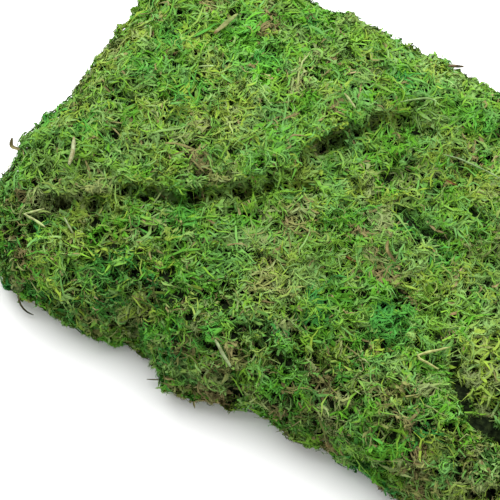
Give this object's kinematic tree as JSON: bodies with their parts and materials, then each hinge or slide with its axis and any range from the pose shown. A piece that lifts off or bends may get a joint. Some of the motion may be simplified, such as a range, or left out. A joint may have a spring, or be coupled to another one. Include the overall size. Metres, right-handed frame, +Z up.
{
  "type": "moss clump",
  "caption": "Pressed clump of preserved green moss with a torn upper sheet, rounded edges, a flat base, and dry straws and stems caught in it.",
  "frame": {"origin": "on the ground under the middle of the clump", "axes": "+X along the clump's long side, +Y from its front edge towards its far edge, +Z up"},
  "size_m": [0.3, 0.2, 0.0588],
  "materials": {
    "lower_moss": "soft matt tangle of fine green and olive moss strands with dark gaps",
    "upper_moss": "soft matt tangle of fine bright green moss strands with tan ones among them",
    "straw": "dry tan straw, faintly glossy along its length",
    "stem": "pale green dry stem, matt",
    "twig": "dark brown twig, rough",
    "leaf": "thin dry tan leaf with a reddish base"
  },
  "bodies": {
    "root": {"lower_moss_mat": "lower_moss", "upper_moss_mat": "upper_moss", "broad_straw": "straw", "bent_straw": "straw", "short_straw": "straw", "front_straw": "straw", "lip_straw": "straw", "back_straw": "straw", "forked_straw": "straw", "curved_stem": "stem", "pale_fibre": "stem", "edge_twig": "twig", "dry_leaf": "leaf"}
  },
  "joints": []
}
